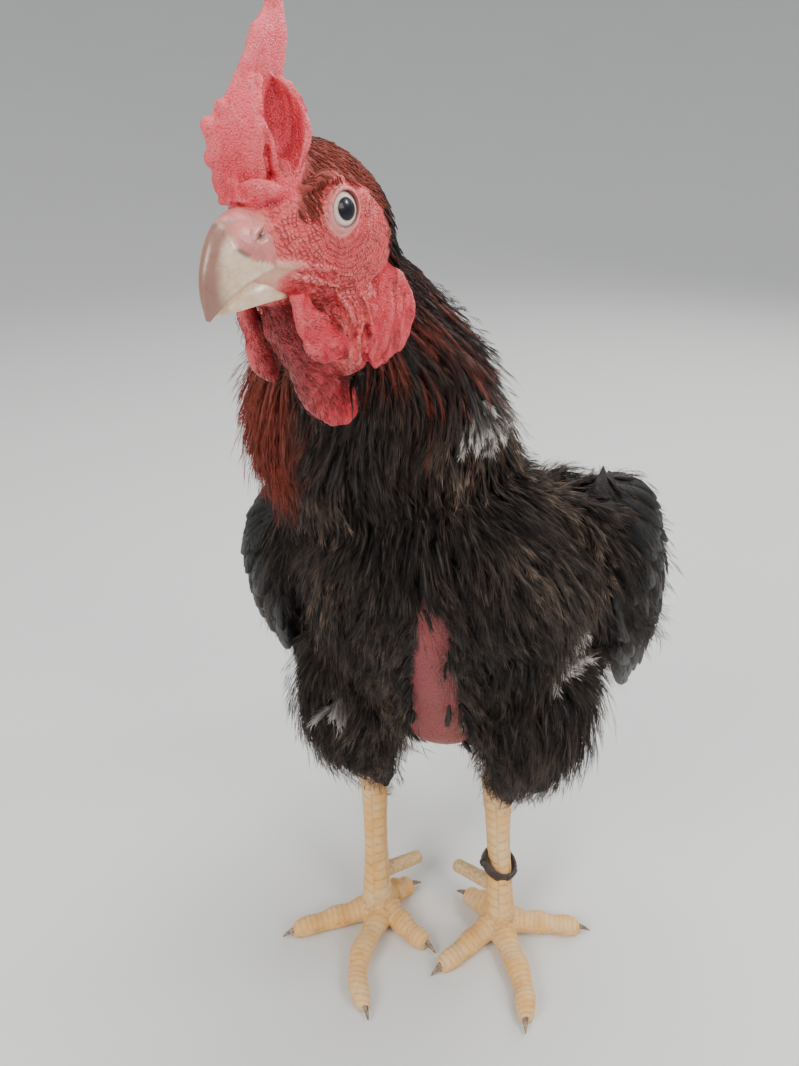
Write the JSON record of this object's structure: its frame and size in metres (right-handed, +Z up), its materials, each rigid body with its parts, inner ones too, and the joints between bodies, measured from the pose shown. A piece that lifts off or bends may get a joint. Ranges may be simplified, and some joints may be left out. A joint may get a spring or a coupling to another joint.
{
  "type": "aseel chicken",
  "caption": "Standing aseel cock at life size, still, with an upright neck, knobbly comb, drooping wings, short tail and a dark band on one leg.",
  "frame": {"origin": "on the floor, under the middle of the whole bird's box", "axes": "+Z up, the bird faces -Y and its own left side is +X"},
  "size_m": [0.258, 0.4132, 0.5589],
  "materials": {
    "face": "matt, pebbled red skin",
    "comb": "waxy pink red",
    "wattle": "glossy red",
    "horn": "ivory horn with a brown streak",
    "eye": "wet, pearl iris and dark pupil",
    "hackle": "dark feathers with red brown tips",
    "breast": "black brown body feathers",
    "flight": "black feathers with a faint gloss",
    "leg": "pale ochre scutes",
    "claw": "grey brown horn",
    "band": "dark worn leather"
  },
  "bodies": {
    "root": {"beak_lower": "horn", "beak_upper": "horn", "claw_left_hallux": "claw", "claw_left_inner": "claw", "claw_left_mid": "claw", "claw_left_outer": "claw", "claw_right_hallux": "claw", "claw_right_inner": "claw", "claw_right_mid": "claw", "claw_right_outer": "claw", "comb": "comb", "dewlap": "wattle", "earlobe_left": "wattle", "earlobe_right": "wattle", "eye_left": "eye", "eye_right": "eye", "foot_left": "leg", "foot_right": "leg", "head": "face", "leg_band": "band", "neck": "hackle", "shank_left": "leg", "shank_right": "leg", "spur_left": "claw", "spur_right": "claw", "tail": "flight", "thigh_left": "breast", "thigh_right": "breast", "torso": "breast", "wattle_left": "wattle", "wattle_right": "wattle", "wing_left": "flight", "wing_right": "flight"}
  },
  "joints": []
}
